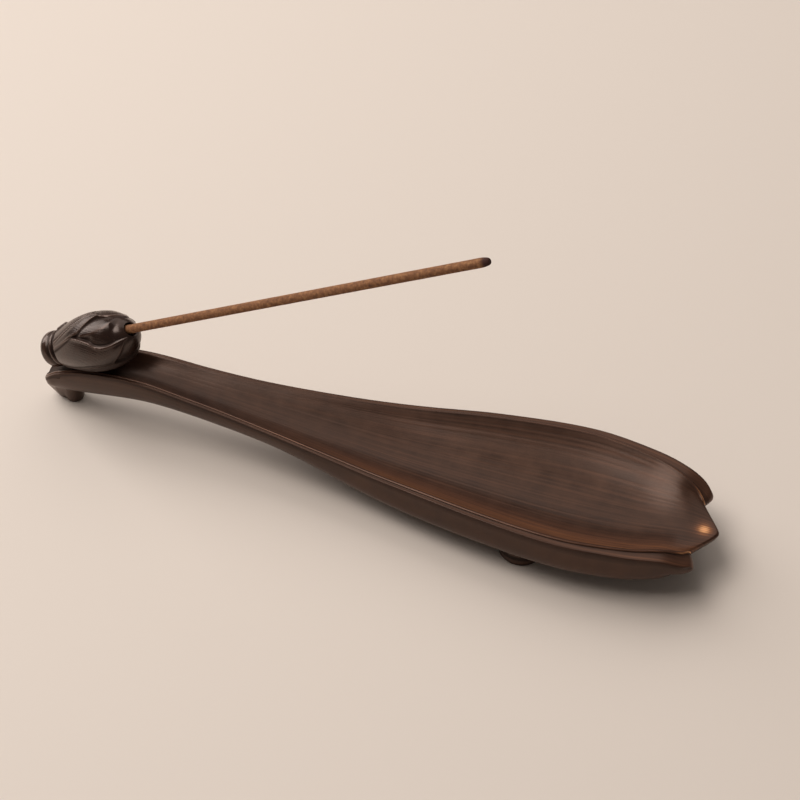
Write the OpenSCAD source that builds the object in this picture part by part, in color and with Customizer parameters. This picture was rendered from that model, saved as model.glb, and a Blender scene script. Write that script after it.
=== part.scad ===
// Incense burner: a lotus petal dish on three cast feet, a lotus bud screwed to its neck,
// and an incense stick that slides out of the bud's mouth.
// The origin is the middle of the footprint on the table; +X runs from the bud to the petal's tip.

/* [Dish] */
// Length of the dish from its tail to the tip of the middle petal
dish_len = 190; // [184:1:200]
// Width of the dish across the widest part of its rim
dish_w = 41.4; // [39:0.2:46]
// Height of the rim beside the bowl
rim_z = 17; // [16:0.2:18]
// Depth of the bowl below its rim
bowl_depth = 7; // [5:0.2:8.4]
// How far the middle petal stands out beyond the two side petals
tip_out = 3.8; // [2.5:0.1:5]
// How far each notch cuts in behind the side petals' tips
notch_in = 1.7; // [1:0.1:2.5]

/* [Feet] */
// Distance between the centres of the two feet under the bowl
foot_spread = 22.6; // [20:0.2:24]
// Radius of a foot under the bowl
foot_r = 6; // [4:0.1:6.5]
// Radius of the heel's sole under the tail
heel_r = 2.4; // [2:0.1:3]

/* [Bud] */
// Length of the bud along its own axis
bud_len = 31.9; // [31.4:0.1:32.4]
// Largest diameter of the bud
bud_d = 15; // [14.6:0.1:15.4]
// Lean of the bud above the table, in degrees
bud_lean = 28.6; // [27.6:0.1:29]
// Diameter of the stick hole
bore_d = 2.6; // [2.56:0.01:2.64]
// Length of the stick hole
bore_len = 9; // [8:0.5:9.5]

/* [Stick] */
// Lean of the stick and its hole above the table, in degrees
lean = 28.6; // [27:0.1:31]
// Diameter of the incense stick
stick_d = 2.46; // [2.44:0.01:2.5]
// Length of stick that stands out of the bud
stick_out = 111; // [40:1:180]

/* [Screw] */
// Thread diameter of the screw that holds the bud
screw_d = 3; // [2.5:0.1:3.2]
// Diameter of the screw's head
head_d = 5.5; // [5:0.1:5.8]

/* [Hidden] */
$fn = 64;

// ---- lines of the dish: [fraction of the length from the tail, value] ----
side_x = 1 - tip_out / dish_len;
// rim half-width, as a fraction of the widest half-width
RIM_W = [[0, 0.23], [0.05, 0.275], [0.18, 0.31], [0.31, 0.38], [0.44, 0.53], [0.56, 0.71],
         [0.68, 0.895], [0.80, 0.998], [0.89, 0.915], [0.94, 0.80], [0.965, 0.72], [side_x, 0.62]];
// rim height, as a fraction of the height beside the bowl
RIM_Z = [[0, 0.52], [0.03, 0.80], [0.08, 1.03], [0.16, 1.145], [0.25, 1.07], [0.36, 0.985],
         [0.52, 0.925], [0.66, 0.975], [0.80, 1.0], [0.89, 0.98], [0.94, 0.93], [side_x, 0.75]];
// height of the keel under the dish
KEEL_Z = [[0, 5.2], [0.05, 5.6], [0.18, 9.6], [0.30, 9.0], [0.40, 7.6], [0.50, 5.2], [0.60, 4.2],
          [0.78, 4.4], [0.88, 4.6], [0.94, 5.4], [side_x, 7]];
// depth of the bowl below its ridge, as a fraction of its full depth
BOWL = [[0, 0.12], [0.08, 0.25], [0.30, 0.26], [0.46, 0.5], [0.64, 0.88], [0.78, 1], [0.88, 0.85],
        [0.95, 0.4], [side_x, 0.05]];
// set-in of the inner ridge from the rim
INSET = [[0, 1], [0.42, 1.1], [0.62, 1.6], [0.80, 2.15], [0.90, 2.95], [side_x, 4.6]];

// ---- smooth curve through a line's points ----
function seg(t, f, i = 0) = i >= len(t) - 2 || f < t[i + 1][0] ? i : seg(t, f, i + 1);
function step_at(t, i) = (t[i + 1][1] - t[i][1]) / (t[i + 1][0] - t[i][0]);
function slope_at(t, i) =
    i == 0 ? step_at(t, 0)
    : i == len(t) - 1 ? step_at(t, i - 1)
    : (t[i + 1][1] - t[i - 1][1]) / (t[i + 1][0] - t[i - 1][0]);
function line_at(t, f) =
    let (i = seg(t, f), h = t[i + 1][0] - t[i][0], s = (f - t[i][0]) / h)
    (2 * s * s * s - 3 * s * s + 1) * t[i][1]
    + (s * s * s - 2 * s * s + s) * h * slope_at(t, i)
    + (3 * s * s - 2 * s * s * s) * t[i + 1][1]
    + (s * s * s - s * s) * h * slope_at(t, i + 1);
function ease(s) = let (c = min(1, max(0, s))) c * c * (3 - 2 * c);
function mix(a, b, s) = a + (b - a) * s;

// ---- plan of the front edge: three petal tips with two notches ----
side_y = line_at(RIM_W, side_x) * dish_w / 2;
notch_y = side_y - line_at(INSET, side_x);
tip_round = 0.29;
tip_power = 0.82;
function tip_fall(t) =
    let (r = tip_round, fall = (sqrt(t * t + r * r) - r) / (sqrt(1 + r * r) - r))
    pow(fall, tip_power);
function front_x(y) =
    abs(y) < notch_y
    ? tip_out - (tip_out + notch_in) * tip_fall(abs(y) / notch_y)
    : -notch_in * (1 - sin(90 * (abs(y) - notch_y) / (side_y - notch_y)));
front_from = 0.86;

// ---- cross-section of the dish at a fraction of its length ----
tail_round = 4;
tail_power = 2.4;
function tail_fill(f) =
    pow(1 - pow(1 - min(1, f * dish_len / tail_round), tail_power), 1 / tail_power);
function rim_w(f) = line_at(RIM_W, f) * dish_w / 2 * tail_fill(f);
function rim_h(f) = line_at(RIM_Z, f) * rim_z;
function mid_h(f) = (rim_h(f) + line_at(KEEL_Z, f)) / 2;
// the ridge never stands further in than this share of the half-width
most_inset = 0.35;
function inset(f) = min(line_at(INSET, f), most_inset * rim_w(f));
// the inner ridge stands just above the rim, and a little more towards the front
ridge_above = 0.1;
front_rise = 0.3;
rise_from = 0.9;
rise_len = 0.08;
function ridge_h(f) = rim_h(f) + ridge_above + front_rise * ease((f - rise_from) / rise_len);
function floor_h(f) = ridge_h(f) - line_at(BOWL, f) * bowl_depth;

bowl_steps = 8;
rim_roll = 0.5;
bowl_power = 2;
// the ridge and the lip keep their full relief down to this inset
full_inset = 1.5;
function relief(f) = min(1, inset(f) / full_inset);
lip_drop = 0.5;
// profile of the ridge, the shallow band outside it and the lip, for the band's inner end at wr:
// [across, height above the rim or the ridge]
ridge_foot = 0.25;
groove_out = 0.45;
groove_drop = 0.34;
band_drop = 0.2;
lip_in = 0.5;
lip_in_drop = 0.08;
lip_edge_in = 0.15;
lip_edge_drop = 0.12;
// half of the upper side, from the middle of the bowl out to the rim: [y, z]
function upper_half(f) =
    let (w = rim_w(f), z = rim_h(f), zr = ridge_h(f), zf = floor_h(f), k = relief(f),
         wr = w - inset(f), foot = wr - min(rim_roll, 0.2 * wr), groove = wr + groove_out * k)
    [for (n = [0 : bowl_steps])
         [foot * n / bowl_steps, mix(zf, zr - ridge_foot * k, pow(n / bowl_steps, bowl_power))],
     [wr - 0.1 * k, zr],
     [wr + 0.3 * k, zr - 0.2 * k],
     [groove, mix(zr, z, 0.3) - groove_drop * k],
     [mix(groove, w, 0.5), mix(zr, z, 0.7) - band_drop * k],
     [w - lip_in * k, z - lip_in_drop * k],
     [w - lip_edge_in * k, z - lip_edge_drop * k],
     [w, z - lip_drop * k]];
// points of the profile after the bowl's own
side_steps = bowl_steps + 7;
// roundness of the under side below the neck and below the bowl, and where one turns into the other
neck_power = 2.8;
hull_power = 4;
neck_end = 0.35;
bowl_start = 0.6;
wall_bulge = 1.45;
bulge_fade = 0.12;
// thickness of the front edge at the middle petal's tip and at the side petals' tips
mid_edge_t = 1.5;
side_edge_t = 3.6;
// where the under side starts to close towards the front edge
pinch_from = 0.92;
// half of the under side, from the rim down to the keel: [y, z]
function under_half(f) =
    let (w = rim_w(f), z = rim_h(f) - lip_drop * relief(f), keel = line_at(KEEL_Z, f),
         wide = ease((f - neck_end) / (bowl_start - neck_end)), p = mix(neck_power, hull_power, wide),
         bulge = wall_bulge * wide * (1 - ease((f - front_from) / bulge_fade)), upper = upper_half(f),
         pinch = pow(max(0, f - pinch_from) / (side_x - pinch_from), 3))
    [for (n = [1 : side_steps])
        let (a = 90 * n / side_steps,
             y = w * pow(max(0, cos(a)), 2 / p) + bulge * sin(2 * a),
             drop = pow(sin(a), 2 / p),
             above = upper[side_steps - n],
             edge_t = mix(mid_edge_t, side_edge_t, pow(above[0] / w, 4)))
        [mix(y, above[0], pinch), mix(mix(z, keel, drop), above[1] - edge_t, pinch)]];
function mirrored(points) = [for (p = points) [-p[0], p[1]]];
function reversed(points) = [for (n = [len(points) - 1 : -1 : 0]) points[n]];
function but_first(points) = [for (n = [1 : len(points) - 1]) points[n]];
function but_last(points) = [for (n = [0 : len(points) - 2]) points[n]];
function section(f) =
    let (up = upper_half(f), down = under_half(f))
    concat(reversed(mirrored(but_first(up))), up, but_last(down), reversed(mirrored(down)));
// height of the tail's end as a share of the section's full height
tail_high = 0.3;
// a point of the section stands where its share of the width meets the bent front
function stood(f, p) =
    let (w = rim_w(f), y_end = side_y * max(-1, min(1, p[0] / w)),
         bend = ease((f - front_from) / (side_x - front_from)),
         high = mix(tail_high, 1, tail_fill(f)))
    [(f - 0.5) * dish_len + front_x(y_end) * bend, p[0], mix(mid_h(f), p[1], high)];

// sections stand close together over the tail's end and again towards the front
ring_count = 46;
tail_rings = 7;
tail_start = 0.0006;
tail_end = 0.035;
tail_gather = 1.6;
front_gather = 1.25;
function station(n) =
    n < tail_rings
    ? mix(tail_start, tail_end, pow(n / tail_rings, tail_gather))
    : mix(tail_end, side_x, 1 - pow(1 - (n - tail_rings) / (ring_count - tail_rings), front_gather));

module petal_shell() {
    rings = [for (n = [0 : ring_count]) let (f = station(n)) [for (p = section(f)) stood(f, p)]];
    size = len(rings[0]);
    points = [for (r = rings) each r];
    last = ring_count * size;
    walls = [for (n = [0 : ring_count - 1]) for (k = [0 : size - 1])
        let (a = n * size + k, b = n * size + (k + 1) % size)
        each [[a, b + size, a + size], [a, b, b + size]]];
    // each end is closed by strips between matching points of the upper and under sides
    inner_cap = [for (k = [1 : 2 * side_steps - 2])
        each [[k, size - k, k + 1], [k + 1, size - k, size - k - 1]]];
    far_lip = 2 * side_steps;
    tail_cap = concat([[0, size - 1, 1]], inner_cap, [[far_lip - 1, far_lip + 1, far_lip]]);
    tip_cap = [for (t = tail_cap) [t[2] + last, t[1] + last, t[0] + last]];
    polyhedron(points, concat(walls, tail_cap, tip_cap), convexity = 8);
}

// ---- places of the bud, the screw and the feet ----
tail_x = -dish_len / 2;
stem_x = tail_x + 2.3;
stem_z = 17.1;
mouth_x = tail_x + 28.8;
mouth_z = 33.6;
// the screw stands upright through the neck under the bud's body
screw_x = tail_x + 14.6;
seat_z = 15;
seat_r = 3.4;
seat_gap = 0.2;
seat_cut = 8;
boss_len = 5;
head_z = 9.6;
head_pocket_r = head_d / 2 + 0.35;
screw_hole_r = screw_d / 2 + 0.2;
through = 20;
tap_r = screw_d / 2 + 0.02;
tap_top = 20.6;
heel_x = tail_x + 6.8;
foot_x = tail_x + 141.6;
foot_top = 6.6;
heel_top = 8;
foot_edge = 0.8;
foot_flare = 0.3;
heel_flare = 1.4;
// the web that joins the heel to the tail's end
web_from = [heel_x - 0.6, 1.9];
web_to = [tail_x + 3.2, 6.4];
web_low_r = 1.6;
web_high_r = 2.4;

// a cast foot: a short post whose lower edge is rounded
module foot(radius, height, flare) {
    rotate_extrude()
        polygon([[0, 0],
                 for (a = [0 : 15 : 90]) [radius - foot_edge + foot_edge * sin(a), foot_edge * (1 - cos(a))],
                 [radius + flare, height],
                 [0, height]]);
}

module heel_web() {
    run = web_to - web_from;
    translate([web_from[0], 0, web_from[1]])
        rotate([0, atan2(run[0], run[1]), 0])
            cylinder(r1 = web_low_r, r2 = web_high_r, h = norm(run));
}

module petal_dish() {
    color("#3a271d")
    difference() {
        union() {
            petal_shell();
            for (side = [-1, 1])
                translate([foot_x, side * foot_spread / 2, 0])
                    foot(foot_r, foot_top, foot_flare);
            translate([heel_x, 0, 0])
                foot(heel_r, heel_top, heel_flare);
            heel_web();
        }
        // flat seat for the bud, the screw's hole and the pocket for its head
        translate([screw_x, 0, seat_z])
            cylinder(r = seat_r + seat_gap, h = seat_cut);
        translate([screw_x, 0, 0])
            cylinder(r = screw_hole_r, h = through);
        translate([screw_x, 0, 0])
            cylinder(r = head_pocket_r, h = head_z);
    }
}

// ---- the bud, drawn along its own axis from the stem end to the nose ----
stem_r = 5;
stem_len = 3.4;
stem_round = 1.7;
bead_r = 0.6;
waist_in = 0.5;
waist_slope = 0.7;
bead_after = 1;
body_start = 5.6;
start_r = 4.8;
swell = 1.7;
// distance along the bud to its fullest place; beyond it the nose is half an ellipse
fullest = 18.5;
function body_r(t) = mix(bud_d / 2, start_r, pow((fullest - t) / (fullest - body_start), swell));
recess_d = 3.7;
recess_len = 1.6;
clear_len = 5;

module leaning(x, z, angle) {
    translate([x, 0, z])
        rotate([0, 90 - angle, 0])
            children();
}

module bud_body() {
    waist_r = stem_r - waist_in;
    waist_t = stem_len - waist_in + waist_slope;
    rotate_extrude()
        polygon([[0, 0],
                 for (a = [0 : 18 : 90])
                     [stem_r - stem_round + stem_round * sin(a), stem_round * (1 - cos(a))],
                 [stem_r, stem_len - waist_in],
                 [waist_r, waist_t],
                 for (a = [-60 : 30 : 60])
                     [waist_r + bead_r * cos(a), stem_len + bead_after + bead_r * sin(a)],
                 for (s = [0 : 0.1 : 0.9])
                     let (t = mix(body_start, fullest, s)) [body_r(t), t],
                 for (a = [0 : 7.5 : 82.5])
                     [bud_d / 2 * cos(a), mix(fullest, bud_len, sin(a))],
                 [0, bud_len]]);
}

module lotus_bud() {
    color("#41291e")
    difference() {
        union() {
            leaning(stem_x, stem_z, bud_lean)
                bud_body();
            translate([screw_x, 0, seat_z])
                cylinder(r = seat_r, h = boss_len);
        }
        // the stick's hole and the wider mouth that leads into it
        leaning(mouth_x, mouth_z, lean)
            translate([0, 0, -recess_len - bore_len])
                cylinder(d = bore_d, h = bore_len + recess_len + clear_len);
        leaning(mouth_x, mouth_z, lean)
            translate([0, 0, -recess_len])
                cylinder(d = recess_d, h = recess_len + clear_len);
        translate([screw_x, 0, seat_z - 1])
            cylinder(r = tap_r, h = tap_top - seat_z + 1);
    }
}

// ---- the fastening under the neck ----
washer_t = 0.6;
washer_over = 0.5;
head_t = 2;
head_taper = 0.8;
screw_len = 10;
drive_w = 0.8;
drive_len = 3;
drive_deep = 1.2;

module bud_screw() {
    under = head_z - washer_t;
    color("#8b8b88")
    translate([screw_x, 0, under])
    difference() {
        union() {
            cylinder(d = screw_d, h = screw_len);
            translate([0, 0, -head_t])
                cylinder(d1 = head_d - head_taper, d2 = head_d, h = head_t);
        }
        for (turn = [0, 90])
            rotate([0, 0, turn])
                translate([-drive_len / 2, -drive_w / 2, -head_t - 1])
                    cube([drive_len, drive_w, drive_deep + 1]);
    }
}

module screw_washer() {
    color("#9a9a96")
    translate([screw_x, 0, head_z - washer_t])
    difference() {
        cylinder(d = head_d + washer_over, h = washer_t);
        translate([0, 0, -1])
            cylinder(r = screw_hole_r, h = washer_t + 2);
    }
}

// ---- the stick, standing on the blind end of its hole ----
burnt_len = 2;
burnt_d = 1.3;

module incense_stick() {
    whole = bore_len + recess_len + stick_out;
    color("#9a6c43")
    leaning(mouth_x, mouth_z, lean)
        translate([0, 0, -recess_len - bore_len])
            union() {
                cylinder(d = stick_d, h = whole - burnt_len);
                translate([0, 0, whole - burnt_len])
                    cylinder(d1 = stick_d, d2 = burnt_d, h = burnt_len);
            }
}

petal_dish();
lotus_bud();
bud_screw();
screw_washer();
incense_stick();
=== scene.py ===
"""A lotus petal incense burner in patinated bronze: a petal dish cast with its three feet, a lotus bud
screwed to the neck from below, and an incense stick that slides out of the bud's mouth.

Lengths inside the making functions are millimetres along the dish from its tail; every piece is then
stood in the CAD frame, in metres, by the dish's own box."""

import math

import bmesh
import bpy
import numpy as np
from mathutils import Matrix, Vector


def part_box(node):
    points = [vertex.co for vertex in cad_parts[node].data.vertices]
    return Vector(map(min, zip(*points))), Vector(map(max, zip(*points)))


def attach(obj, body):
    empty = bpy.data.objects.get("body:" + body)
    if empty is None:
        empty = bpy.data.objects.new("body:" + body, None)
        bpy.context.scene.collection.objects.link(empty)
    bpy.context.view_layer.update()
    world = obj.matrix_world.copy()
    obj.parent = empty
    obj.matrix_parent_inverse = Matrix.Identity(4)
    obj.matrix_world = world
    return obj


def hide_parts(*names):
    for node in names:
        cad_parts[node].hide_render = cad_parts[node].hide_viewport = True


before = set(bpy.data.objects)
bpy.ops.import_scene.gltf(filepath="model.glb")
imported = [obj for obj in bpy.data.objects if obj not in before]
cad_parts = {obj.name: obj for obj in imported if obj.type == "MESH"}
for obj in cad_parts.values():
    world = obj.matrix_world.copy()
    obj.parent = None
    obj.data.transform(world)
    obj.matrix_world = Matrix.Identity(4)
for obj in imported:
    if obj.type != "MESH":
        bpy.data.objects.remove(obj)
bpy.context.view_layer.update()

MM = 0.001
TINY = 1e-6
dish_low, dish_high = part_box("petal_dish")
screw_low, screw_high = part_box("bud_screw")
TAIL = dish_low.x / MM
DISH_LEN = (dish_high.x - dish_low.x) / MM
SCREW_X = (screw_low.x + screw_high.x) / 2 / MM - TAIL


# ---------------------------------------------------------------- lines and meshes
def ease(s):
    c = np.clip(s, 0, 1)
    return c * c * (3 - 2 * c)


def mix(a, b, s):
    return a + (b - a) * s


def hump(distance, width):
    return np.exp(-(distance / width) ** 2)


def line_at(points, at):
    """A smooth line through [place, value] points, read at one place."""
    last = len(points) - 2
    i = 0
    while i < last and at >= points[i + 1][0]:
        i += 1

    def slope(k):
        lo, hi = max(0, k - 1), min(len(points) - 1, k + 1)
        return (points[hi][1] - points[lo][1]) / (points[hi][0] - points[lo][0])

    h = points[i + 1][0] - points[i][0]
    s = (at - points[i][0]) / h
    return (
        (2 * s**3 - 3 * s**2 + 1) * points[i][1]
        + (s**3 - 2 * s**2 + s) * h * slope(i)
        + (3 * s**2 - 2 * s**3) * points[i + 1][1]
        + (s**3 - s**2) * h * slope(i + 1)
    )


def smooth_line(points, steps):
    """Points along a smooth curve through the given points, steps of them to each span."""
    p = [np.array(q, float) for q in points]
    p = [2 * p[0] - p[1], *p, 2 * p[-1] - p[-2]]
    made = []
    for i in range(1, len(p) - 2):
        for s in np.arange(steps) / steps:
            made.append(
                p[i] + 0.5 * s * (p[i + 1] - p[i - 1]
                + s * (2 * p[i - 1] - 5 * p[i] + 4 * p[i + 1] - p[i + 2]
                + s * (3 * (p[i] - p[i + 1]) + p[i + 2] - p[i - 1]))))
    return made + [p[-2]]


def skin(name, rings, marks=None, runs=None):
    """A mesh through closed rings of points in mm, given as an array [ring, point, xyz] in the CAD frame.
    marks are named values at each point, and runs are the two UV values at each point."""
    count, size = rings.shape[:2]
    here = np.arange(size)
    faces = []
    for r in range(count - 1):
        a, b = r * size + here, r * size + (here + 1) % size
        faces.append(np.stack([a, b, b + size, a + size], 1))
    faces = np.concatenate(faces)
    mesh = bpy.data.meshes.new(name)
    mesh.from_pydata((rings.reshape(-1, 3) * MM).tolist(), [], faces.tolist())
    for mark, values in (marks or {}).items():
        layer = mesh.attributes.new(mark, "FLOAT", "POINT")
        layer.data.foreach_set("value", np.asarray(values, np.float32).ravel())
    if runs is not None:
        layer = mesh.uv_layers.new(name="run")
        at = np.zeros(len(mesh.loops), np.int32)
        mesh.loops.foreach_get("vertex_index", at)
        flat = runs.reshape(-1, 2)
        layer.data.foreach_set("uv", flat[at].astype(np.float32).ravel())
    mesh.update()
    return mesh


def tidy_mesh(mesh):
    """Joins the points that meet, drops faces with no area and turns the skin outward."""
    bm = bmesh.new()
    bm.from_mesh(mesh)
    bmesh.ops.remove_doubles(bm, verts=bm.verts, dist=2e-6)
    bmesh.ops.dissolve_degenerate(bm, edges=bm.edges, dist=1e-6)
    bmesh.ops.recalc_face_normals(bm, faces=bm.faces)
    bm.to_mesh(mesh)
    bm.free()
    mesh.shade_smooth()
    return mesh


def piece(name, data):
    """Puts a mesh, a light or a camera in the scene."""
    made = bpy.data.objects.new(name, data)
    bpy.context.scene.collection.objects.link(made)
    return made


def give(made, material):
    made.data.materials.clear()
    made.data.materials.append(material)


def turned(name, profile, place, steps=96):
    """A solid turned from [radius, height] points in mm; its first and last points lie on the axis."""
    turn = np.arange(steps) * 2 * math.pi / steps
    rings = np.array([
        np.stack([r * np.cos(turn), r * np.sin(turn), np.full(steps, h)], 1) for r, h in profile
    ])
    flat = np.concatenate([rings.reshape(-1, 3), np.ones((rings.shape[0] * steps, 1))], 1)
    stood = flat @ np.array(place).T
    return tidy_mesh(skin(name, stood[:, :3].reshape(rings.shape)))


def cut_and_join(target, *steps):
    """Joins turned solids to a piece, or cuts them out of it, and keeps the result as its mesh."""
    for kind, mesh in steps:
        tool = piece("tool", mesh)
        change = target.modifiers.new(kind, "BOOLEAN")
        change.operation = kind
        change.solver = "EXACT"
        change.object = tool
        bpy.context.view_layer.update()
        worked = bpy.data.meshes.new_from_object(
            target.evaluated_get(bpy.context.evaluated_depsgraph_get()))
        target.modifiers.clear()
        target.data = worked
        bpy.data.objects.remove(tool)
    target.data.shade_smooth()
    return target


# ---------------------------------------------------------------- the petal dish
DISH_W = 41.4
RIM_HIGH = 17.0
BOWL_DEEP = 7.0
TIP_OUT = 3.8
NOTCH_IN = 1.7
SIDE_END = 1 - TIP_OUT / DISH_LEN
# rim half-width as a share of the widest half-width, at shares of the length from the tail
RIM_W = [[0, 0.23], [0.05, 0.275], [0.18, 0.31], [0.31, 0.38], [0.44, 0.53], [0.56, 0.71],
         [0.68, 0.895], [0.80, 0.998], [0.89, 0.915], [0.94, 0.80], [0.965, 0.72], [SIDE_END, 0.62]]
# rim height as a share of the height beside the bowl
RIM_Z = [[0, 0.52], [0.03, 0.80], [0.08, 1.03], [0.16, 1.145], [0.25, 1.07], [0.36, 0.985],
         [0.52, 0.925], [0.66, 0.975], [0.80, 1.0], [0.89, 0.98], [0.94, 0.93], [SIDE_END, 0.75]]
# height of the keel
KEEL_Z = [[0, 5.2], [0.05, 5.6], [0.18, 9.6], [0.30, 9.0], [0.40, 7.6], [0.50, 5.2], [0.60, 4.2],
          [0.78, 4.4], [0.88, 4.6], [0.94, 5.4], [SIDE_END, 7]]
# depth of the bowl as a share of its full depth
BOWL = [[0, 0.12], [0.08, 0.25], [0.30, 0.26], [0.46, 0.5], [0.64, 0.88], [0.78, 1], [0.88, 0.85],
        [0.95, 0.4], [SIDE_END, 0.05]]
# how far the inner ridge stands in from the rim
INSET = [[0, 1], [0.42, 1.1], [0.62, 1.6], [0.80, 2.15], [0.90, 2.95], [SIDE_END, 4.6]]
SIDE_Y = line_at(RIM_W, SIDE_END) * DISH_W / 2
NOTCH_Y = SIDE_Y - line_at(INSET, SIDE_END)


# the middle petal's tip is rounded, and its two edges bow outward
TIP_ROUND, TIP_POWER = 0.29, 0.82


def front_edge(y):
    """How far the front edge stands beyond the side petals' tips, across the dish: three petal tips."""
    t = np.abs(y) / NOTCH_Y
    whole = math.sqrt(1 + TIP_ROUND**2) - TIP_ROUND
    fall = ((np.sqrt(t * t + TIP_ROUND**2) - TIP_ROUND) / whole) ** TIP_POWER
    middle = TIP_OUT - (TIP_OUT + NOTCH_IN) * fall
    side = -NOTCH_IN * (1 - np.sin(np.radians(90 * (np.abs(y) - NOTCH_Y) / (SIDE_Y - NOTCH_Y))))
    return np.where(np.abs(y) < NOTCH_Y, middle, side)


# length of the tail's rounded end, and how square its corners are
TAIL_ROUND, TAIL_POWER = 4, 2.4


def tail_fill(f):
    """How wide the tail's rounded end has become at a share of the length: 0 at its end, then 1."""
    return (1 - (1 - min(1, f * DISH_LEN / TAIL_ROUND)) ** TAIL_POWER) ** (1 / TAIL_POWER)


# steps over half of the bowl, and over each stretch of the ridge, channel and lip beside it
BOWL_STEPS, LIP_STEPS, LIP_SPANS = 50, 3, 7
SIDE_STEPS = BOWL_STEPS + LIP_SPANS * LIP_STEPS
# the ridge stands above the rim, and a little more towards the front
RIDGE_ABOVE, FRONT_RISE, RISE_FROM, RISE_LEN = 0.1, 0.3, 0.9, 0.08
# most inset of the ridge as a share of the half-width, and the inset that gives it its full relief
MOST_INSET, FULL_INSET = 0.35, 1.5
# width over which the bowl's edge rolls up to the ridge, at most a share of the bowl's half-width
RIM_ROLL, ROLL_SHARE = 0.5, 0.2
# profile of the ridge, the channel outside it and the lip: distances across and drops
RIDGE_FOOT, RIDGE_IN, RIDGE_OUT, RIDGE_FALL = 0.25, 0.1, 0.3, 0.2
GROOVE_OUT, GROOVE_DROP, BAND_DROP = 0.45, 0.34, 0.2
LIP_IN, LIP_IN_DROP, LIP_EDGE_IN, LIP_EDGE_DROP, LIP_DROP = 0.5, 0.08, 0.15, 0.12, 0.5


def upper_half(f):
    """Half of the upper side at a share of the length, from the middle of the bowl out to the lip, with
    the rim's half-width, its height and the ridge's share of its full relief."""
    w = line_at(RIM_W, f) * DISH_W / 2 * tail_fill(f)
    z = line_at(RIM_Z, f) * RIM_HIGH
    i = min(line_at(INSET, f), MOST_INSET * w)
    zr = z + FRONT_RISE * ease((f - RISE_FROM) / RISE_LEN) + RIDGE_ABOVE
    zf = zr - line_at(BOWL, f) * BOWL_DEEP
    wr = w - i
    foot = wr - min(RIM_ROLL, ROLL_SHARE * wr)
    k = min(1, i / FULL_INSET)
    groove = wr + GROOVE_OUT * k
    n = np.arange(BOWL_STEPS) / BOWL_STEPS
    bowl = np.stack([foot * n, mix(zf, zr - RIDGE_FOOT * k, n**2)], 1)
    lip = smooth_line([
        [foot, zr - RIDGE_FOOT * k],
        [wr - RIDGE_IN * k, zr],
        [wr + RIDGE_OUT * k, zr - RIDGE_FALL * k],
        [groove, mix(zr, z, 0.3) - GROOVE_DROP * k],
        [mix(groove, w, 0.5), mix(zr, z, 0.7) - BAND_DROP * k],
        [w - LIP_IN * k, z - LIP_IN_DROP * k],
        [w - LIP_EDGE_IN * k, z - LIP_EDGE_DROP * k],
        [w, z - LIP_DROP * k]], LIP_STEPS)
    return np.concatenate([bowl, np.array(lip)]), w, z, k


# thickness of the front edge at the middle petal's tip and at the side petals' tips
MID_EDGE_T, SIDE_EDGE_T = 1.5, 3.6
# the heel's place and sole, how steeply its post flares, and the web that joins it to the tail's end
HEEL_X, HEEL_R, HEEL_STEEP = 7.1, 2.4, 5
WEB_END, WEB_SLOPE, WEB_HALF, WEB_STEEP = 3.5, 1.1, 1.5, 2.4
HEEL_BLEND, TAIL_BLEND = 0.6, 0.8
NO_WEB = 99


def soft_lower(a, b, width):
    """The lower of two heights, blended over a width."""
    h = np.clip(0.5 + 0.5 * (b - a) / width, 0, 1)
    return mix(b, a, h) - width * h * (1 - h)


def heel_height(x, y):
    """The heel under the tail: a small post, joined to the tail's end by a web along the middle."""
    away = np.hypot(x - HEEL_X, y) - HEEL_R
    post = HEEL_STEEP * np.maximum(away, 0) ** 1.15
    web = WEB_SLOPE * max(0, WEB_END - x) + WEB_STEEP * np.maximum(0, np.abs(y) - WEB_HALF) ** 1.2
    return soft_lower(post, np.where(x < HEEL_X, web, NO_WEB), HEEL_BLEND)


# roundness of the under side below the neck and below the bowl, and where one turns into the other
NECK_POWER, HULL_POWER, NECK_END, BOWL_START = 2.8, 4, 0.35, 0.6
WALL_BULGE, BULGE_FADE = 1.41, 0.12
# where the dish starts to bend to its front edge, and where its under side starts to close there
FRONT_FROM, PINCH_FROM = 0.86, 0.92
# a fine groove runs along the wall just under the lip: its depth, distance below the rim and width
WALL_GROOVE, GROOVE_BELOW, GROOVE_WIDE = 0.14, 1.2, 0.35
EDGE_ROUND = 1.3


def under_half(f, upper, w, z, k):
    """Half of the under side, from the lip down to the keel; point n lies under upper point
    SIDE_STEPS - n, so that the two sides meet point by point at the front edge."""
    wide = ease((f - NECK_END) / (BOWL_START - NECK_END))
    p = mix(NECK_POWER, HULL_POWER, wide)
    bulge = WALL_BULGE * wide * (1 - ease((f - FRONT_FROM) / BULGE_FADE))
    a = np.linspace(0, math.pi / 2, SIDE_STEPS + 1)[1:]
    y = w * np.maximum(0, np.cos(a)) ** (2 / p) + bulge * np.sin(2 * a)
    z_down = mix(z - LIP_DROP * k, line_at(KEEL_Z, f), np.sin(a) ** (2 / p))
    y = y - WALL_GROOVE * k * hump(z - z_down - GROOVE_BELOW, GROOVE_WIDE) * ease((f - 0.02) / 0.02)
    pinch = max(0, (f - PINCH_FROM) / (SIDE_END - PINCH_FROM)) ** 3
    above = upper[SIDE_STEPS - np.arange(1, SIDE_STEPS + 1)]
    rounded = np.sqrt(1 - (1 - np.clip((w - above[:, 0]) / EDGE_ROUND, 0, 1)) ** 2)
    edge = mix(MID_EDGE_T, SIDE_EDGE_T, (above[:, 0] / max(w, TINY)) ** 4) * rounded
    return np.stack([mix(y, above[:, 0], pinch), mix(z_down, above[:, 1] - edge, pinch)], 1)


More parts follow.
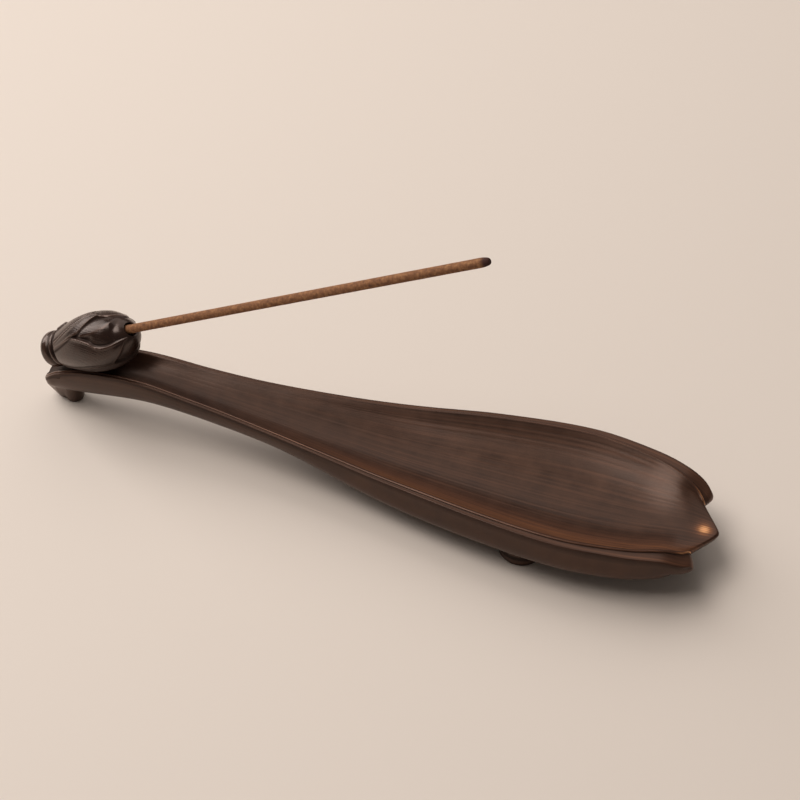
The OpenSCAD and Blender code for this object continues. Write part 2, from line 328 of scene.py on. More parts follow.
# raised veins that run the length of the bowl, each with its place, height, ends and slight sway
VEIN_COUNT, VEIN_TALL, VEIN_HALF, VEIN_WAY = 30, 0.05, 0.34, 0.006
vein_draw = np.random.default_rng(7)
VEIN_PLACE = np.linspace(-0.96, 0.96, VEIN_COUNT) + vein_draw.uniform(-0.02, 0.02, VEIN_COUNT)
VEIN_HIGH = vein_draw.uniform(0.35, 1.0, VEIN_COUNT)
VEIN_START = vein_draw.uniform(0.10, 0.42, VEIN_COUNT)
VEIN_END = vein_draw.uniform(0.86, 0.99, VEIN_COUNT)
VEIN_SWAY = vein_draw.uniform(0, 6.28, VEIN_COUNT)


def vein_height(f, share):
    """How much the veins raise the bowl, from 0 to 1, at shares of the way from side to side."""
    high = np.zeros_like(share)
    bowl_w = max(4.0, line_at(RIM_W, f) * DISH_W / 2)
    for place, tall, start, end, sway in zip(VEIN_PLACE, VEIN_HIGH, VEIN_START, VEIN_END, VEIN_SWAY):
        there = tall * ease((f - start) / 0.1) * ease((end - f) / 0.05)
        middle = place + VEIN_WAY * math.sin(9 * f + sway)
        high += there * hump((share - middle) * bowl_w, VEIN_HALF)
    return high * ease((1 - np.abs(share)) / 0.04)


# ends of the closely ringed tail and heel, and the length of the rounded nose, as shares of the length
TAIL_TO, HEEL_TO, NOSE_LEN, NOSE_GAP = 0.035, 0.062, 0.012, 0.0005


def dish_stations():
    """Shares of the length at which a ring of points stands: close together at both ends."""
    tail = TAIL_TO * np.linspace(0, 1, 28)[:-1] ** 1.8
    heel = np.linspace(TAIL_TO, HEEL_TO, 36)[:-1]
    body = mix(HEEL_TO, SIDE_END - NOSE_LEN - NOSE_GAP, 1 - (1 - np.linspace(0, 1, 222)) ** 1.2)
    nose = SIDE_END - NOSE_LEN * (1 - np.sin(np.linspace(0, math.pi / 2, 18)))
    return np.concatenate([tail, heel, body, nose])


# how far wear goes on the bowl's far side, how far wear and painted light go on its near side, and how far
# wear goes on its veins, the ridge and the lip
FAR_WEAR, NEAR_WEAR_AND_LIGHT, VEIN_WEAR, RIDGE_WEAR, NOTCH_WEAR, LIP_WEAR = 0.08, 0.5, 0.14, 0.4, 0.85, 0.36
# places along the lip's points of the ridge, the lip, the dark channel between them and the outer edge
RIDGE_AT, LIP_AT, CHANNEL_AT, EDGE_AT = 4, 13, 8, 21
# how dark the painted shade in the channel and at the outer edge is, how dark the line under the lip is,
# and how far down it lies
CHANNEL_SHADE, EDGE_SHADE, LINE_DARK, LINE_DOWN = 0.4, 0.5, 0.7, 0.9
# the middle petal's tip is rubbed back to copper by handling, in a spot
SPOT_X, SPOT_R, SPOT_WEAR = 186, 2.6, 0.9
CORNER_ROUND = 0.8


def upper_marks(f, share, veins):
    """How rubbed the upper side is, for its far and its near half, and where painted shade darkens it. The
    near half gets more copper wear, which also paints in the light that falls on that side, and the bowl
    under the bud's stem is painted dark as the bud's shadow."""
    lip = np.arange(LIP_SPANS * LIP_STEPS + 1)
    at_notch = ease((f - 0.95) / 0.02)
    ridge = mix(RIDGE_WEAR, NOTCH_WEAR, at_notch) * hump(lip - RIDGE_AT, mix(1.6, 2.6, at_notch))
    handled = ease((f - 0.25) / 0.35)
    rubbed = []
    # painted light: the near half's extra wear also lightens the side the light falls on; the far half has
    # only a little wear
    for vein, side_wear_and_light in zip(veins, (FAR_WEAR, NEAR_WEAR_AND_LIGHT)):
        bowl = (VEIN_WEAR * vein + side_wear_and_light * ease((share - 0.3) / 0.6)) * handled
        rubbed.append(np.concatenate([bowl, ridge + LIP_WEAR * hump(lip - LIP_AT, 3)]))
    # painted shade: the bowl floor under the bud is darkened as the bud's shadow
    shade_under_bud = np.full(BOWL_STEPS, ease((0.085 - f) / 0.03))
    # painted shade along the channel outside the ridge and at the rim's outer edge
    rim_shade = CHANNEL_SHADE * hump(lip - CHANNEL_AT, 1.2) + EDGE_SHADE * hump(lip - EDGE_AT, 1.5)
    return rubbed, np.concatenate([shade_under_bud, rim_shade])


def dish_ring(f):
    """One ring of the petal: upper side from lip to lip, then the under side back, with its marks."""
    upper, w, z, k = upper_half(f)
    under = under_half(f, upper, w, z, k)
    share = upper[:BOWL_STEPS, 0] / max(upper[BOWL_STEPS, 0], TINY)
    veins = [vein_height(f, share * side) for side in (1, -1)]
    tops = []
    for vein in veins:
        top = upper.copy()
        top[:BOWL_STEPS, 1] += VEIN_TALL * vein
        tops.append(top)
    mirror = np.array([-1, 1])
    ring = np.concatenate([tops[1][:0:-1] * mirror, tops[0], under[:-1], under[::-1] * mirror])
    worn, shaded = upper_marks(f, share, veins)
    down = LINE_DARK * hump(z - under[:, 1] - LINE_DOWN, GROOVE_WIDE)
    rubbed = np.concatenate([worn[1][:0:-1], worn[0], np.zeros(2 * SIDE_STEPS - 1)])
    hollow = np.concatenate([shaded[:0:-1], shaded, down[:-1], down[::-1]])
    mid = (z + line_at(KEEL_Z, f)) / 2
    height = mix(mid, ring[:, 1], mix(0.2, 1, tail_fill(f)))
    across = np.clip(ring[:, 0] / max(w, TINY), -1, 1)
    bend = ease((f - FRONT_FROM) / (SIDE_END - FRONT_FROM))
    x = f * DISH_LEN + front_edge(SIDE_Y * across) * bend
    if f < 0.075:
        low = slice(2 * SIDE_STEPS + 1, None)
        heel = heel_height(f * DISH_LEN, ring[low, 0])
        height[low] = np.maximum(0, soft_lower(height[low], heel, TAIL_BLEND))
    # the side petals' tips are rounded in plan
    corner = np.clip((np.abs(across) - 0.92) / 0.08, 0, 1)
    x = x - CORNER_ROUND * (1 - np.sqrt(1 - corner**2)) * ease((f - SIDE_END + 0.022) / 0.022)
    spot = SPOT_WEAR * hump(np.hypot(x - SPOT_X, ring[:, 0]), SPOT_R)
    top_side = np.arange(len(ring)) <= 2 * SIDE_STEPS
    rubbed = np.clip(rubbed + spot * top_side, 0, 1)
    # painted shade: the tail's top behind the bud's stem is darkened as the stem's shadow
    hollow = np.maximum(hollow, top_side * ease((0.05 - f) / 0.02) * ease((ring[:, 0] + 3) / 1.5))
    # the grain follows the petal: along it in decimetres, and across it as a share of its width
    along = np.full(len(ring), f * DISH_LEN / 100)
    runs = np.stack([along, across * 0.5 + np.where(top_side, 0, 1.5)], 1)
    return np.stack([x + TAIL, ring[:, 0], height], 1), rubbed, hollow, runs


def round_front(ring, f):
    """Rounds the front edge over, so that its upper and under sides meet on the last ring."""
    n = SIDE_STEPS
    gap = (SIDE_END - f) * DISH_LEN
    top, low = ring[1:2 * n], ring[4 * n - 1:2 * n:-1]
    reach = np.clip(np.abs(top[:, 1]) / SIDE_Y, 0, 1)
    half = 0.5 * mix(MID_EDGE_T, SIDE_EDGE_T, reach**4)
    thin = np.sqrt(1 - (1 - np.clip(gap / half, 0, 1)) ** 2)
    mid = (top[:, 2] + low[:, 2]) / 2
    for at, beside in ((0, 0), (2 * n, -1)):
        ring[at, 2] = mix(mid[beside], ring[at, 2], thin[0])
    top[:, 2] = mix(mid, top[:, 2], thin)
    low[:, 2] = mix(mid, low[:, 2], thin)


def build_dish():
    stations = dish_stations()
    rings, rubbed, hollow, runs = (np.array(part) for part in zip(*[dish_ring(f) for f in stations]))
    for ring, f in zip(rings, stations):
        round_front(ring, f)
    mesh = tidy_mesh(skin("dish", rings, marks={"rubbed": rubbed, "hollow": hollow}, runs=runs))
    return piece("petal_dish_cast", mesh)


# ---------------------------------------------------------------- the lotus bud
BUD_LEAN = math.radians(28.6)
STICK_LEAN = math.radians(28.6)
STEM_AT = (2.3, 17.1)
MOUTH_AT = (28.8, 33.6)
BORE_R, BORE_LEN = 1.3, 9.0
RECESS_R, RECESS_LEN = 1.85, 1.6
BODY_START, FULLEST, BUD_LEN, BUD_R = 5.6, 18.5, 31.9, 7.5
START_R, SWELL = 4.8, 1.7
# each petal: height of its edge in mm, then its two edges as [mm from the stem end, degrees round the
# bud from its top towards the near side]
PETALS = {
    "inner_back": (0.35, [[14, -95], [20, -84], [25, -72], [28.4, -60]],
                   [[14, -40], [20, -14], [22, -6.5], [23.6, -4.5], [25.8, -8], [28.4, -32]]),
    "back_top": (0.45, [[5.6, -100], [12, -92], [17, -72], [20.5, -36]],
                 [[5.6, 40], [12, 20], [17, -8], [20.5, -34]]),
    "far_side": (0.6, [[5.6, -172], [14, -162], [21, -142], [25, -122], [28.2, -92]],
                 [[5.6, -86], [12, -76], [18, -74], [23, -76], [26, -80], [28.2, -90]]),
    "front": (0.62, [[5.6, 50], [11, 42], [14.7, 39], [17.9, 44], [21.3, 55], [22.7, 64.5], [25.1, 70.5],
                     [27, 70], [29, 67], [30.9, 64]],
              [[5.6, 176], [14, 160], [21, 140], [25, 122], [28.5, 104], [30.9, 72]]),
    "over_top": (0.6, [[5.6, 36], [8.8, 27], [12.8, 12], [16.1, -1], [19.0, -11], [21.1, -15], [22.6, -11]],
                 [[5.6, 62], [10, 52], [14.7, 40], [17.9, 33], [19.4, 21.5], [20.7, 10], [22.1, -3],
                  [22.6, -9]]),
    "under": (0.85, [[5.6, 118], [12, 112], [18, 110], [24, 120], [27, 140]],
              [[5.6, 242], [12, 248], [18, 250], [24, 240], [27, 220]]),
    "sepal_top": (1.0, [[5.4, -62], [7.5, -48], [9.6, -14]], [[5.4, -2], [7.5, -4], [9.6, -11]]),
    "sepal_low": (1.0, [[5.4, -160], [7.5, -150], [9.6, -128]], [[5.4, -100], [7.5, -108], [9.6, -124]]),
}
# the fold along the middle of the inner petal that shows between the others
KEEL = [[16, 42], [18.7, 39.5], [21.5, 38.5], [23.7, 34], [25.7, 27], [27.2, 12], [28.4, -10]]


def bud_radius(t):
    """Radius of the plain form under the petals: it swells to its fullest place, then closes in half an
    ellipse."""
    if t < FULLEST:
        return mix(BUD_R, START_R, ((FULLEST - t) / (FULLEST - BODY_START)) ** SWELL)
    return BUD_R * math.sqrt(max(0, 1 - ((t - FULLEST) / (BUD_LEN - FULLEST)) ** 2))


# the inner petals' ground level, how far their middle fold rises above it and falls away on each side
INNER_LEVEL, FOLD_HIGH, FOLD_FALL, INNER_LOW = -0.25, 0.75, 0.2, -0.55
# a dark pocket beside the front petal's curled lip: its depth, place and size
POCKET_DEEP, POCKET_T, POCKET_TURN, POCKET_LONG, POCKET_WIDE = 0.7, 20.2, 49, 1.9, 1.2
# each petal's raised edge, its swell towards the middle, and how much further the front petal's lip curls
EDGE_HIGH, EDGE_WIDE, CROWN, CROWN_REACH, CURL_HIGH = 0.16, 0.28, 0.42, 3, 0.45
PETAL_SINK = 0.35
# wear on the petal edges and on the fold, and how dark the painted shade on the bud's underside is
EDGE_WEAR, FOLD_WEAR, UNDERCUT_SHADE = 0.3, 0.25, 0.8
BUD_VEIN_TALL = 0.035


def inner_petals(t, degrees, per_degree):
    """Height of the innermost layer round the bud, folded along its middle, and how worn the fold is."""
    fold = (degrees - line_at(KEEL, t)) * per_degree
    tall = ease((t - 16.5) / 2.5) * ease((28.6 - t) / 1.5)
    roof = FOLD_HIGH - FOLD_FALL * np.sqrt(fold**2 + 0.05)
    surface = np.maximum(INNER_LEVEL + tall * roof * (np.abs(fold) < 6), INNER_LOW)
    pocket = hump(t - POCKET_T, POCKET_LONG) * hump((degrees - POCKET_TURN) * per_degree, POCKET_WIDE)
    return surface - POCKET_DEEP * pocket, FOLD_WEAR * tall * hump(fold, 0.3)


def inside_petal(name, first, second, t, degrees, per_degree):
    """How far each place round the bud lies inside a petal's edges, in mm, and the petal's middle."""
    start, end = first[0][0], first[-1][0]
    held = min(max(t, start), end)
    lo, hi = line_at(first, held), line_at(second, held)
    middle, half = (lo + hi) / 2, abs(hi - lo) / 2
    away = np.abs((degrees - middle + 180) % 360 - 180)
    inside = (half - away) * per_degree
    # past its tip a petal ends in a point, not in a step along the bud
    beyond = max(0, t - end) + max(0, start - t) * (0 if start < 6 else 4)
    inside = inside * 0.85 - beyond * 2.2
    return inside * (0.8 if name.startswith("sepal") else 1), middle


def bud_ring(t, turn):
    """Radius round the bud at one place along it, with its worn places and its painted shade."""
    base = bud_radius(t)
    degrees = np.degrees(turn)
    per_degree = max(base, 0.5) * math.pi / 180
    surface, worn = inner_petals(t, degrees, per_degree)
    hollow = np.zeros_like(turn)
    for name, (level, first, second) in PETALS.items():
        inside, middle = inside_petal(name, first, second, t, degrees, per_degree)
        step = ease((inside + 0.12) / 0.3)
        lip = EDGE_HIGH * hump(inside - 0.42, EDGE_WIDE)
        if name == "front":
            lip = lip + CURL_HIGH * hump(t - 18, 3.2) * hump(inside - 0.35, 0.4) * (degrees < middle)
        crown = CROWN * np.sqrt(np.clip(inside, 0, CROWN_REACH) / CROWN_REACH)
        high = level + lip + crown - PETAL_SINK
        over = step * (surface < high)
        # painted shade in the crease just outside each petal's edge, where the edge shades the surface
        # below
        hollow = np.maximum(hollow * (1 - over), hump(inside + 0.25, 0.28))
        worn = mix(worn, EDGE_WEAR * hump(inside - 0.35, 0.25), over)
        surface = np.where(surface < high, mix(surface, high, step), surface)
    # the petals start shallow at the stem and flatten again at the nose
    fade = ease((t - BODY_START + 0.3) / 1.2) * mix(1, 0.45, ease((t - 27) / 3)) * min(1, base / 3)
    # painted shade: the underside below the petals is darkened to near black
    hollow = np.maximum(hollow, UNDERCUT_SHADE * ease((np.abs(degrees) - 98) / 22))
    wave = np.sin(degrees * 1.9 + 3 * np.sin(t * 0.35))
    veins = BUD_VEIN_TALL * wave * ease((t - 9) / 5) * ease((27 - t) / 3)
    return base + (surface + veins) * fade, worn * fade, hollow * fade


def bud_place(points):
    """Stands points given as [along, up, near side] of the bud in the CAD frame, in mm."""
    c, s = math.cos(BUD_LEAN), math.sin(BUD_LEAN)
    along, up, near = points[..., 0], points[..., 1], points[..., 2]
    return np.stack([TAIL + STEM_AT[0] + along * c - up * s, -near, STEM_AT[1] + along * s + up * c], -1)


def leaning_at(x, z, lean):
    """The place of a turned piece whose axis leans in the plane of the dish's middle."""
    return Matrix.Translation((TAIL + x, 0, z)) @ Matrix.Rotation(math.pi / 2 - lean, 4, "Y")


# the stem's radius, its rounded end, and the bead between it and the petals
STEM_R, STEM_ROUND = 5.0, 1.7
BEAD_AT, BEAD_R, BEAD_IN = 4.35, 0.62, 4.45
# points round the bud, and rings along its body
BUD_TURN, BUD_RINGS, FIRST_RING = 380, 205, 0.05
# the flat seat in the neck, the boss on the bud that stands in it, and the tapped hole and the screw's hole
SEAT_Z, SEAT_R, BOSS_R, BOSS_TOP, SEAT_TOP = 15, 3.6, 3.4, 20, 24
TAP_R, TAP_TOP, SCREW_HOLE_R, HEAD_POCKET_R, HEAD_Z, HOLE_TOP = 1.52, 20.6, 1.7, 3.1, 9.6, 18


def stem_profile():
    """The stem as [radius, distance along the bud]: a rounded end, a waist and a bead."""
    rounded = [(STEM_R - STEM_ROUND + STEM_ROUND * math.sin(a), STEM_ROUND * (1 - math.cos(a)))
               for a in np.linspace(0, math.pi / 2, 12)]
    waist = [(5.02, 2.4), (4.98, 2.9), (4.75, 3.25), (4.5, 3.5)]
    bead = [(BEAD_IN + BEAD_R * math.cos(a), BEAD_AT + BEAD_R * math.sin(a))
            for a in np.linspace(-1.1, 1.1, 9)]
    return [(0, 0), (1.2, -0.02), (2.4, 0), *rounded, *waist, *bead, (4.5, 5.1), (4.45, 5.35)]


def bud_mouth():
    """The stick's bore with the wider mouth that leads into it."""
    blind = -BORE_LEN - RECESS_LEN
    profile = [(0, blind), (BORE_R, blind), (BORE_R, -RECESS_LEN), (RECESS_R - 0.1, -RECESS_LEN + 0.1),
               (RECESS_R, -0.9), (RECESS_R + 0.1, -0.4), (RECESS_R + 0.5, 3), (0, 3)]
    return turned("mouth", profile, leaning_at(*MOUTH_AT, STICK_LEAN))


def build_bud():
    turn = np.arange(BUD_TURN) * 2 * math.pi / BUD_TURN - math.pi
    rings, worn, hollow = [], [], []
    for r, t in stem_profile():
        rings.append(np.stack([np.full_like(turn, t), r * np.cos(turn), r * np.sin(turn)], 1))
        worn.append(np.full_like(turn, EDGE_WEAR * float(hump(t - BEAD_AT, 0.3) + hump(t - 2.2, 0.8))))
        hollow.append(np.full_like(turn, float(hump(t - 3.6, 0.3) + hump(t - 5.3, 0.3))))
    start = BODY_START - FIRST_RING
    # the rings stand closer together towards the nose
    for t in start + (BUD_LEN - start) * (1 - (1 - np.linspace(0, 1, BUD_RINGS)) ** 1.6):
        r, w, h = bud_ring(t, turn)
        rings.append(np.stack([np.full_like(turn, t), r * np.cos(turn), r * np.sin(turn)], 1))
        worn.append(w)
        hollow.append(h)
    mesh = skin("bud", bud_place(np.array(rings)), marks={"rubbed": worn, "hollow": hollow})
    bud = piece("lotus_bud_cast", tidy_mesh(mesh))
    at_screw = Matrix.Translation((TAIL + SCREW_X, 0, 0))
    boss = turned("boss", [(0, SEAT_Z), (BOSS_R - 0.1, SEAT_Z), (BOSS_R, SEAT_Z + 0.1), (BOSS_R, BOSS_TOP),
                           (0, BOSS_TOP)], at_screw)
    tapped = turned("tapped", [(0, SEAT_Z - 1), (TAP_R, SEAT_Z - 1), (TAP_R, TAP_TOP), (0, TAP_TOP)],
                    at_screw)
    return cut_and_join(bud, ("UNION", boss), ("DIFFERENCE", bud_mouth()), ("DIFFERENCE", tapped))


# ---------------------------------------------------------------- the incense stick
STICK_R, STICK_OUT = 1.215, 110.9
STICK_TURN, STICK_RINGS, CHAR_RINGS, CHAR_LEN = 40, 420, 22, 2.3
LUMPS = 26
# how uneven the skin is on the plain stick and at its charred end, and how far it stands in for that
SKIN_LUMP, CHAR_LUMP, SKIN_IN, CHAR_IN = 0.022, 0.11, 0.02, 0.1


def build_stick():
    """Rolled incense paste: a rod with a faintly uneven skin and a charred, worn-down end."""
    draw = np.random.default_rng(11)
    whole = BORE_LEN + RECESS_LEN + STICK_OUT
    turn = np.arange(STICK_TURN) * 2 * math.pi / STICK_TURN
    lobes = [(draw.integers(1, 7), draw.uniform(0.2, 1.6), draw.uniform(0, 6.28), draw.uniform(0.2, 1))
             for _ in range(LUMPS)]
    plain = np.linspace(1, whole - CHAR_LEN - 0.1, STICK_RINGS)
    burning = whole - CHAR_LEN + CHAR_LEN * np.sin(np.linspace(0, math.pi / 2, CHAR_RINGS))
    rings, char = [], []
    for h in np.concatenate([[0, 0.1, 0.5], plain, burning]):
        left = whole - h
        wave = sum(a * np.sin(k * turn + q * h + p) for k, q, p, a in lobes) / LUMPS * 2
        burnt = float(ease((2.6 - left) / 1.6))
        rounded = math.sqrt(max(0, 1 - (1 - min(1, left / 2.2)) ** 2.4)) * 0.5 + 0.5
        r = (STICK_R - 0.12 * hump(h, 0.15)) * mix(1, rounded, burnt)
        ring_r = r + wave * mix(SKIN_LUMP, CHAR_LUMP, burnt) - mix(SKIN_IN, CHAR_IN, burnt)
        rings.append(np.stack([ring_r * np.cos(turn), ring_r * np.sin(turn), np.full_like(turn, h)], 1))
        char.append(np.full_like(turn, burnt))
    for share in (0.7, 0.4, 0):
        ring = rings[-1].copy()
        ring[:, :2] *= share
        rings.append(ring)
        char.append(char[-1])
    bottom = rings[0].copy()
    bottom[:, :2] = 0
    rings = np.array([bottom, *rings])
    char.insert(0, char[0])
    place = leaning_at(*MOUTH_AT, STICK_LEAN) @ Matrix.Translation((0, 0, -BORE_LEN - RECESS_LEN))
    stood = np.concatenate([rings, np.ones(rings.shape[:2] + (1,))], 2) @ np.array(place).T
    return piece("incense_stick_rolled", tidy_mesh(skin("stick", stood[..., :3], marks={"charred": char})))


# ---------------------------------------------------------------- feet, seat and screw hole
FOOT_R, FOOT_FLARE, FOOT_EDGE, FOOT_HIGH, FOOT_TOP = 6, 0.3, 0.8, 6.0, 6.6
FOOT_X, FOOT_SIDE = 141.6, 11.3


def foot(side):
    """A cast foot with a rounded sole edge that flares into the dish."""
    sole = [(FOOT_R - FOOT_EDGE + FOOT_EDGE * math.sin(a), FOOT_EDGE * (1 - math.cos(a)))
            for a in np.linspace(0, math.pi / 2, 8)]
    flared = [(FOOT_R + FOOT_FLARE * ease(s), mix(FOOT_EDGE + 0.1, FOOT_HIGH, s))
              for s in np.linspace(0, 1, 10)]
    wide = FOOT_R + FOOT_FLARE
    return turned("foot", [(0, 0), *sole, *flared, (wide, FOOT_TOP), (0, FOOT_TOP)],
                  Matrix.Translation((TAIL + FOOT_X, side, 0)))


def stand_dish(dish):
    """Joins the two feet to the dish, and cuts the bud's seat and the screw's hole with its pocket."""
    at_screw = Matrix.Translation((TAIL + SCREW_X, 0, 0))
    seat = turned("seat", [(0, SEAT_Z), (SEAT_R, SEAT_Z), (SEAT_R, SEAT_TOP), (0, SEAT_TOP)], at_screw)
    hole = turned("hole", [(0, -1), (HEAD_POCKET_R, -1), (HEAD_POCKET_R, HEAD_Z), (SCREW_HOLE_R, HEAD_Z),
                           (SCREW_HOLE_R, HOLE_TOP), (0, HOLE_TOP)], at_screw)
    return cut_and_join(dish, ("UNION", foot(FOOT_SIDE)), ("UNION", foot(-FOOT_SIDE)),
                        ("DIFFERENCE", seat), ("DIFFERENCE", hole))


# ---------------------------------------------------------------- materials
def hex_rgb(code):
    """An sRGB hex colour as linear values."""
    parts = [int(code[i:i + 2], 16) / 255 for i in (1, 3, 5)]
    return tuple(p / 12.92 if p <= 0.04045 else ((p + 0.055) / 1.055) ** 2.4 for p in parts) + (1,)


def new_material(name):
    made = bpy.data.materials.new(name)
    made.use_nodes = True
    made.node_tree.nodes.clear()
    return made, made.node_tree


def add(tree, kind, sockets=None, **settings):
    """Adds one node with its settings; a socket takes a value or (node, output)."""
    made = tree.nodes.new(kind)
    for key, value in settings.items():
        setattr(made, key, value)
    for key, value in (sockets or {}).items():
        if isinstance(value, tuple) and isinstance(value[0], bpy.types.Node):
            tree.links.new(value[0].outputs[value[1]], made.inputs[key])
        else:
            made.inputs[key].default_value = value
    return made


def per_mm(size):
    """Scale of a pattern whose parts are this many millimetres across."""
    return 1 / (size * MM)


def ramp_stops(node, *stops):
    """Puts a ramp's stops in place: (position, colour)."""
    ramp = node.color_ramp
    while len(ramp.elements) > 1:
        ramp.elements.remove(ramp.elements[-1])
    ramp.elements[0].position, ramp.elements[0].color = stops[0]
    for place, colour in stops[1:]:
        ramp.elements.new(place).color = colour
    return node


def patinated_bronze(name, brown, dark, roughness, wax_most, grained):
    """Cast bronze under a dark brown patina, waxed by hand: a soft gloss, slightly blotched, darkened
    towards black in the marked hollows and where shade is painted in, and rubbed back towards copper where
    it is handled."""
    made, tree = new_material(name)
    place = add(tree, "ShaderNodeTexCoord")
    rubbed = add(tree, "ShaderNodeAttribute", attribute_name="rubbed")
    hollow = add(tree, "ShaderNodeAttribute", attribute_name="hollow")
    # the patina lies in patches about 12 mm across, with a finer mottle of about 4 mm over them
    patch = add(tree, "ShaderNodeTexNoise", {"Vector": (place, "Object"), "Scale": per_mm(12),
                                             "Detail": 3.0})
    mottle = add(tree, "ShaderNodeTexNoise", {"Vector": (place, "Object"), "Scale": per_mm(4),
                                              "Detail": 2.5, "Roughness": 0.5})
    both = add(tree, "ShaderNodeMix", {"Factor": 0.5, 2: (patch, "Fac"), 3: (mottle, "Fac")})
    tone = ramp_stops(add(tree, "ShaderNodeValToRGB", {"Fac": (both, 0)}),
                      (0.35, hex_rgb(dark)), (0.65, hex_rgb(brown)))
    wear = (rubbed, "Fac")
    if grained:
        # long copper-coloured grain that runs with the petal, about 0.5 mm across
        stretch = add(tree, "ShaderNodeMapping", {"Vector": (place, "UV"), "Scale": (2.2, 56.0, 1.0)})
        grain = add(tree, "ShaderNodeTexNoise", {"Vector": (stretch, "Vector"), "Scale": 1.0,
                                                 "Detail": 5.0, "Roughness": 0.55})
        lines = add(tree, "ShaderNodeMapRange", {"Value": (grain, "Fac"), "From Min": 0.42,
                                                 "From Max": 0.8, "To Min": 0.0, "To Max": 0.42})
        both_worn = add(tree, "ShaderNodeMath", {0: (rubbed, "Fac"), 1: (lines, "Result")},
                        operation="ADD", use_clamp=True)
        wear = (both_worn, "Value")
    # thin patina shows brown, handled edges a dull copper, and the most rubbed spots bright copper
    copper = ramp_stops(add(tree, "ShaderNodeValToRGB", {"Fac": wear}),
                        (0.0, hex_rgb("#50362a")), (0.5, hex_rgb("#6d4734")),
                        (0.75, hex_rgb("#93603f")), (1.0, hex_rgb("#e0a473")))
    worn = add(tree, "ShaderNodeMix", {"Factor": wear, 6: (tone, "Color"), 7: (copper, "Color")},
               data_type="RGBA")
    # painted shade: the shade and hollow mark takes the colour towards near black
    shaded = add(tree, "ShaderNodeMix", {"Factor": (hollow, "Fac"), 6: (worn, 2), 7: hex_rgb("#1a0c08")},
               data_type="RGBA")
    # where the patina is rubbed through, bare metal shows
    bare = add(tree, "ShaderNodeMapRange", {"Value": wear, "From Min": 0.6, "To Min": 0.3, "To Max": 0.8})
    # the wax lies unevenly, so the gloss does too, and the hollows are dull
    buffed = add(tree, "ShaderNodeMapRange", {"Value": (mottle, "Fac"), "To Min": roughness - 0.07,
                                              "To Max": roughness + 0.1})
    gloss = add(tree, "ShaderNodeMix", {"Factor": (hollow, "Fac"), 2: (buffed, "Result"), 3: 0.75})
    wax = add(tree, "ShaderNodeMapRange", {"Value": (hollow, "Fac"), "To Min": wax_most, "To Max": 0.0})
    # the casting skin is about 0.2 mm grained, drawn at 0.6 mm so that it shows
    skin_grain = add(tree, "ShaderNodeTexNoise", {"Vector": (place, "Object"), "Scale": per_mm(0.6),
                                                  "Detail": 3.0})
    bump = add(tree, "ShaderNodeBump", {"Height": (skin_grain, "Fac"), "Strength": 0.12,
                                        "Distance": 0.06 * MM})
    surface = add(tree, "ShaderNodeBsdfPrincipled", {
        "Base Color": (shaded, 2), "Metallic": (bare, "Result"), "Roughness": (gloss, 0),
        "Normal": (bump, "Normal"), "Coat Weight": (wax, "Result"), "Coat Roughness": 0.2,
        "Specular Tint": hex_rgb("#ffe4d4")})
    add(tree, "ShaderNodeOutputMaterial", {"Surface": (surface, "BSDF")})
    return made


def rolled_incense():
    """Incense paste rolled and dried: matt, warm brown wood powder with fine specks, charred at the end."""
    made, tree = new_material("rolled_incense_paste")
    place = add(tree, "ShaderNodeTexCoord")
    charred = add(tree, "ShaderNodeAttribute", attribute_name="charred")
    # ground sandalwood and bark, about 0.4 mm, drawn a little coarser so that it shows
    powder = add(tree, "ShaderNodeTexNoise", {"Vector": (place, "Object"), "Scale": per_mm(0.9),
                                              "Detail": 4.0, "Roughness": 0.7})
    tone = ramp_stops(add(tree, "ShaderNodeValToRGB", {"Fac": (powder, "Fac")}),
                      (0.3, hex_rgb("#5a3720")), (0.5, hex_rgb("#7f5333")), (0.72, hex_rgb("#a0744a")))
    burnt = add(tree, "ShaderNodeMix", {"Factor": (charred, "Fac"), 6: (tone, "Color"),
                                        7: hex_rgb("#3a1a12")}, data_type="RGBA")
    bump = add(tree, "ShaderNodeBump", {"Height": (powder, "Fac"), "Strength": 0.35, "Distance": 0.25 * MM})
    surface = add(tree, "ShaderNodeBsdfPrincipled", {"Base Color": (burnt, 2), "Roughness": 0.85,
                                                     "Normal": (bump, "Normal")})
    add(tree, "ShaderNodeOutputMaterial", {"Surface": (surface, "BSDF")})
    return made


def zinc_plated_steel():
    """Turned steel under clear zinc plating, slightly dulled: cool grey with fine turning lines."""
    made, tree = new_material("zinc_plated_steel")
    place = add(tree, "ShaderNodeTexCoord")
    # the turning lines are about 0.1 mm apart, drawn at 0.25 mm
    lines = add(tree, "ShaderNodeTexWave", {"Vector": (place, "Object"), "Scale": per_mm(1.6),
                                            "Distortion": 0.6, "Detail": 2.0}, bands_direction="Z")
    cloud = add(tree, "ShaderNodeTexNoise", {"Vector": (place, "Object"), "Scale": per_mm(1.5),
                                             "Detail": 3.0})
    tone = ramp_stops(add(tree, "ShaderNodeValToRGB", {"Fac": (cloud, "Fac")}),
                      (0.3, hex_rgb("#8d8d8a")), (0.7, hex_rgb("#b7b6b1")))
    gloss = add(tree, "ShaderNodeMapRange", {"Value": (cloud, "Fac"), "To Min": 0.28, "To Max": 0.45})
    bump = add(tree, "ShaderNodeBump", {"Height": (lines, "Fac"), "Strength": 0.1, "Distance": 0.05 * MM})
    surface = add(tree, "ShaderNodeBsdfPrincipled", {"Base Color": (tone, "Color"), "Metallic": 1.0,
                                                     "Roughness": (gloss, "Result"),
                                                     "Normal": (bump, "Normal")})
    add(tree, "ShaderNodeOutputMaterial", {"Surface": (surface, "BSDF")})
    return made


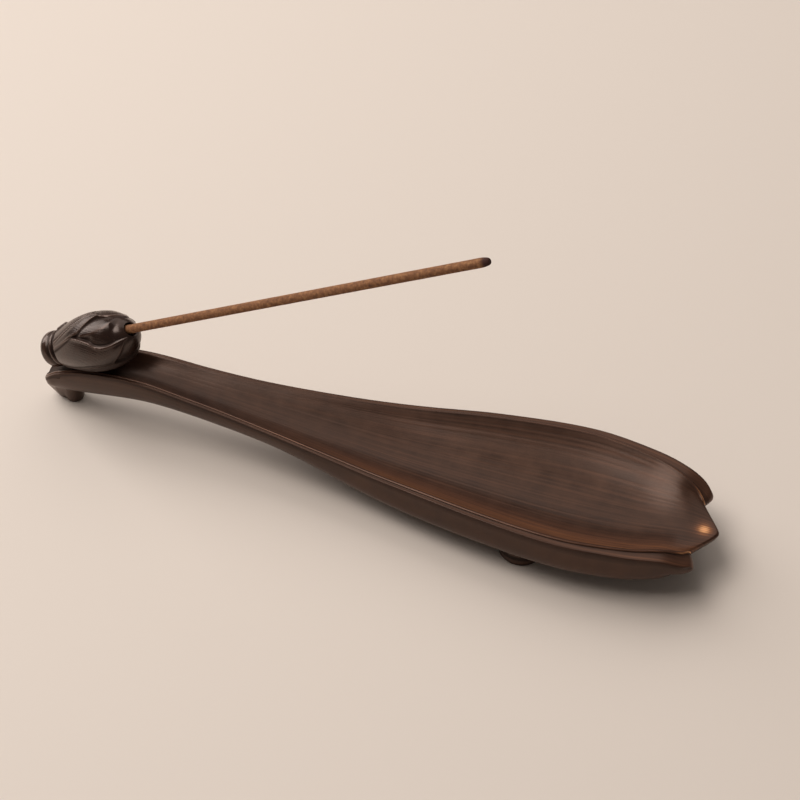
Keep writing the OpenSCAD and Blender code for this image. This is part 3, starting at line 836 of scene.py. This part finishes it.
# ---------------------------------------------------------------- assembly
dish_bronze = patinated_bronze("dish_bronze_patina", "#3e271b", "#29170f", 0.34, 0.1, True)
bud_bronze = patinated_bronze("bud_bronze_patina", "#301b12", "#1d100b", 0.25, 0.5, False)
incense = rolled_incense()
zinc = zinc_plated_steel()
dish = stand_dish(build_dish())
give(dish, dish_bronze)
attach(dish, "holder")
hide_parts("petal_dish")
bud = build_bud()
give(bud, bud_bronze)
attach(bud, "holder")
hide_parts("lotus_bud")
stick = build_stick()
give(stick, incense)
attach(stick, "stick")
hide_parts("incense_stick")
for name in ("bud_screw", "screw_washer"):
    give(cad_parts[name], zinc)

# ---------------------------------------------------------------- floor, light and camera
FLOOR_HALF = 4
floor_mesh = bpy.data.meshes.new("floor")
corners = [(x * FLOOR_HALF, y * FLOOR_HALF, 0) for x, y in ((-1, -1), (1, -1), (1, 1), (-1, 1))]
floor_mesh.from_pydata(corners, [], [(0, 1, 2, 3)])
floor = piece("floor", floor_mesh)
floor.location.z = -0.05 * MM
paper, tree = new_material("matt_floor")
surface = add(tree, "ShaderNodeBsdfPrincipled", {"Base Color": hex_rgb("#ddd2c8"), "Roughness": 0.7})
add(tree, "ShaderNodeOutputMaterial", {"Surface": (surface, "BSDF")})
give(floor, paper)


def soft_light(name, toward, distance, size, power, colour):
    """A soft box that stands toward a direction from the object and faces it."""
    lamp = bpy.data.lights.new(name, "AREA")
    lamp.shape, (lamp.size, lamp.size_y) = "RECTANGLE", size
    lamp.energy, lamp.color = power, hex_rgb(colour)[:3]
    made = piece(name, lamp)
    made.location = Vector(toward).normalized() * distance
    made.rotation_euler = Vector(toward).to_track_quat("Z", "Y").to_euler()


soft_light("far_softbox", (-0.12, 0.6, 0.79), 0.8, (0.8, 0.8), 1.8, "#fff8f2")
soft_light("high_softbox", (-0.41, -0.17, 0.89), 1.3, (0.7, 0.75), 7.4, "#fff8f2")
soft_light("window", (-0.76, 0.23, 0.61), 1.6, (0.92, 1.72), 18, "#fffaf6")
world = bpy.data.worlds.new("studio")
bpy.context.scene.world = world
world.use_nodes = True
room = world.node_tree.nodes["Background"].inputs
room["Color"].default_value = hex_rgb("#f2e9e2")
room["Strength"].default_value = 0.15
bpy.context.scene.view_settings.view_transform = "Standard"

# the camera looks down at the middle of the dish from the near side, turned a little to the tip
view_turn, view_rise, view_far = math.radians(19.04), math.radians(47), 0.4735
aim = Vector((-0.00042, 0.02846, 0))
back = Vector((math.sin(view_turn) * math.cos(view_rise), -math.cos(view_turn) * math.cos(view_rise),
               math.sin(view_rise)))
camera_data = bpy.data.cameras.new("camera")
camera_data.sensor_width, camera_data.lens = 36, 75.42
camera = piece("camera", camera_data)
camera.location = aim + back * view_far
camera.rotation_mode = "QUATERNION"
camera.rotation_quaternion = (-back).to_track_quat("-Z", "Y")
camera_data.clip_start, camera_data.clip_end = 0.01, 50
bpy.context.scene.camera = camera
